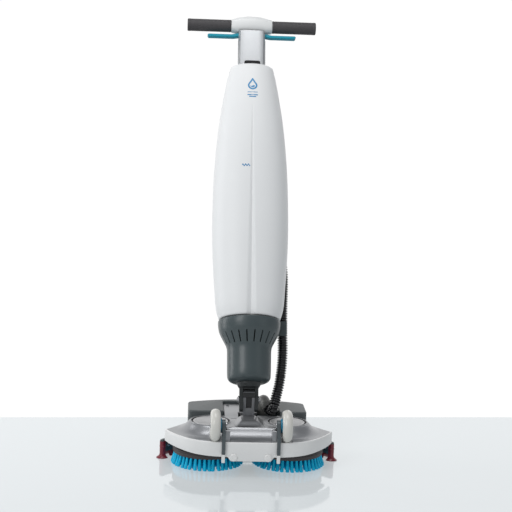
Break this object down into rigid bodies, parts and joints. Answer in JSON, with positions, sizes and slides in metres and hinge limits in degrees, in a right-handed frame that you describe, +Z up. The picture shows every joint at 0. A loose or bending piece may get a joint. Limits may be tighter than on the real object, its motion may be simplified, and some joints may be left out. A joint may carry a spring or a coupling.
{
  "type": "wet dry floor scrubber",
  "caption": "Upright walk-behind floor scrubber: twin-brush deck with squeegee and transport wheels, two-axis joint, tank body and T-handle.",
  "frame": {"origin": "middle of the bottom of the bounding box, on the floor under the machine", "axes": "+Z up, -Y the way the machine faces, +Y towards its user, +X to the right of someone facing its front"},
  "size_m": [0.446, 0.6132, 1.0938],
  "materials": {
    "tank_white": "moulded, satin gloss",
    "skirt_white": "moulded",
    "deck_silver": "metallic silver moulding",
    "lid_grey": "metallic grey moulding",
    "housing_grey": "dark green-grey moulding",
    "hood_grey": "grey moulding",
    "chassis_metal": "black coated plate",
    "dark_plastic": "black moulding",
    "bristle_blue": "nylon bristles",
    "squeegee_red": "dark red polyurethane",
    "wheel_white": "light non-marking tyre",
    "hub_teal": "teal moulding",
    "lever_teal": "teal moulding",
    "grip_grey": "soft grip",
    "hose_black": "glossy black corrugated hose",
    "aluminium": "anodised extrusion",
    "steel": "turned steel",
    "motor_steel": "motor and gearbox casing",
    "pipe_grey": "grey moulded pipe"
  },
  "bodies": {
    "deck": {"deck_chassis": "chassis_metal", "deck_cover": "deck_silver", "splash_skirt": "skirt_white", "rear_hood": "hood_grey", "lean_bearing": "deck_silver", "lean_pin": "steel", "squeegee_carrier": "housing_grey", "squeegee_blade": "squeegee_red", "squeegee_lip": "squeegee_red", "suction_duct": "housing_grey", "suction_elbow": "pipe_grey", "hose_boot": "hose_black", "motor_lid_left": "lid_grey", "brush_motor_left": "motor_steel", "skirt_button_left": "skirt_white", "wheel_plate_left": "housing_grey", "slide_foot_left": "skirt_white", "wheel_axle_left": "steel", "motor_lid_right": "lid_grey", "brush_motor_right": "motor_steel", "skirt_button_right": "skirt_white", "wheel_plate_right": "housing_grey", "slide_foot_right": "skirt_white", "wheel_axle_right": "steel"},
    "joint_block": {"joint_bracket": "hood_grey", "hose_lower": "hose_black"},
    "upper_body": {"fork": "housing_grey", "tilt_pin": "steel", "motor_housing": "housing_grey", "vacuum_motor": "dark_plastic", "tank_seat": "dark_plastic", "hose_guard": "housing_grey", "spine_column": "aluminium", "recovery_tank": "hood_grey", "handle_bar": "aluminium", "handle_cover": "tank_white", "console_panel": "dark_plastic", "grip_left": "grip_grey", "grip_right": "grip_grey", "hose_upper": "hose_black"},
    "fan": {"vacuum_fan": "dark_plastic"},
    "tank": {"clean_tank": "tank_white"},
    "cap": {"filler_cap": "lever_teal"},
    "latch": {"tank_latch": "dark_plastic"},
    "battery": {"battery_pack": "dark_plastic"},
    "lid": {"recovery_lid": "dark_plastic"},
    "lever_left": {"trigger_left": "lever_teal"},
    "lever_right": {"trigger_right": "lever_teal"},
    "power": {"power_button": "lever_teal"},
    "boost": {"boost_button": "lever_teal"},
    "brush_left": {"brush_block_left": "dark_plastic", "brush_bristles_left": "bristle_blue", "brush_shaft_left": "steel"},
    "wheel_left": {"wheel_tyre_left": "wheel_white", "wheel_hub_left": "hub_teal"},
    "brush_right": {"brush_block_right": "dark_plastic", "brush_bristles_right": "bristle_blue", "brush_shaft_right": "steel"},
    "wheel_right": {"wheel_tyre_right": "wheel_white", "wheel_hub_right": "hub_teal"}
  },
  "joints": [
    {"name": "deck_lean", "type": "hinge", "parent": "deck", "child": "joint_block", "pos_m": [0, -0.13211, 0.098], "axis": [0, 1, 0], "range_deg": [-15, 15], "deforming": ["hose_lower"]},
    {"name": "body_tilt", "type": "hinge", "parent": "joint_block", "child": "upper_body", "pos_m": [0, -0.13211, 0.148], "axis": [-1, 0, 0], "range_deg": [-24, 26], "deforming": ["hose_upper"]},
    {"name": "brush_left_spin", "type": "hinge", "parent": "deck", "child": "brush_left", "pos_m": [-0.0995, -0.16411, 0.03], "axis": [0, 0, 1], "continuous": true},
    {"name": "brush_right_spin", "type": "hinge", "parent": "deck", "child": "brush_right", "pos_m": [0.0995, -0.16411, 0.03], "axis": [0, 0, 1], "continuous": true},
    {"name": "wheel_left_roll", "type": "hinge", "parent": "deck", "child": "wheel_left", "pos_m": [-0.0848, -0.26811, 0.118], "axis": [1, 0, 0], "continuous": true},
    {"name": "wheel_right_roll", "type": "hinge", "parent": "deck", "child": "wheel_right", "pos_m": [0.0848, -0.26811, 0.118], "axis": [1, 0, 0], "continuous": true},
    {"name": "fan_spin", "type": "hinge", "parent": "upper_body", "child": "fan", "pos_m": [0, -0.08533, 0.25306], "axis": [0, 0.4067, 0.9135], "continuous": true},
    {"name": "tank_tilt_out", "type": "hinge", "parent": "upper_body", "child": "tank", "pos_m": [0, -0.11694, 0.35908], "axis": [1, 0, 0], "range_deg": [0, 15]},
    {"name": "filler_cap_turn", "type": "hinge", "parent": "tank", "child": "cap", "pos_m": [-0.049, 0.21647, 0.94076], "axis": [0, 0.4067, 0.9135], "range_deg": [0, 90]},
    {"name": "tank_latch_lift", "type": "slide", "parent": "upper_body", "child": "latch", "axis": [0, 0.4067, 0.9135], "range_m": [0, 0.006], "stiffness_N_per_m": 400},
    {"name": "battery_slide", "type": "slide", "parent": "upper_body", "child": "battery", "axis": [0, 0.9135, -0.4067], "range_m": [0, 0.06]},
    {"name": "recovery_lid_open", "type": "hinge", "parent": "upper_body", "child": "lid", "pos_m": [0, 0.28397, 0.90698], "axis": [-1, 0, 0], "range_deg": [0, 80]},
    {"name": "trigger_left_pull", "type": "hinge", "parent": "upper_body", "child": "lever_left", "pos_m": [-0.029, 0.26527, 1.04053], "axis": [0, 0.9135, -0.4067], "range_deg": [0, 5.5], "stiffness_Nm_per_rad": 3},
    {"name": "trigger_right_pull", "type": "hinge", "parent": "upper_body", "child": "lever_right", "pos_m": [0.029, 0.26527, 1.04053], "axis": [0, -0.9135, 0.4067], "range_deg": [0, 5.5], "stiffness_Nm_per_rad": 3},
    {"name": "power_button_press", "type": "slide", "parent": "upper_body", "child": "power", "axis": [0, -0.9135, 0.4067], "range_m": [0, 0.0018], "stiffness_N_per_m": 400},
    {"name": "boost_button_press", "type": "slide", "parent": "upper_body", "child": "boost", "axis": [0, -0.9135, 0.4067], "range_m": [0, 0.0018], "stiffness_N_per_m": 400}
  ],
  "couplings": [
    {"joint": "brush_right_spin", "follows": "brush_left_spin", "ratio": -1}
  ]
}
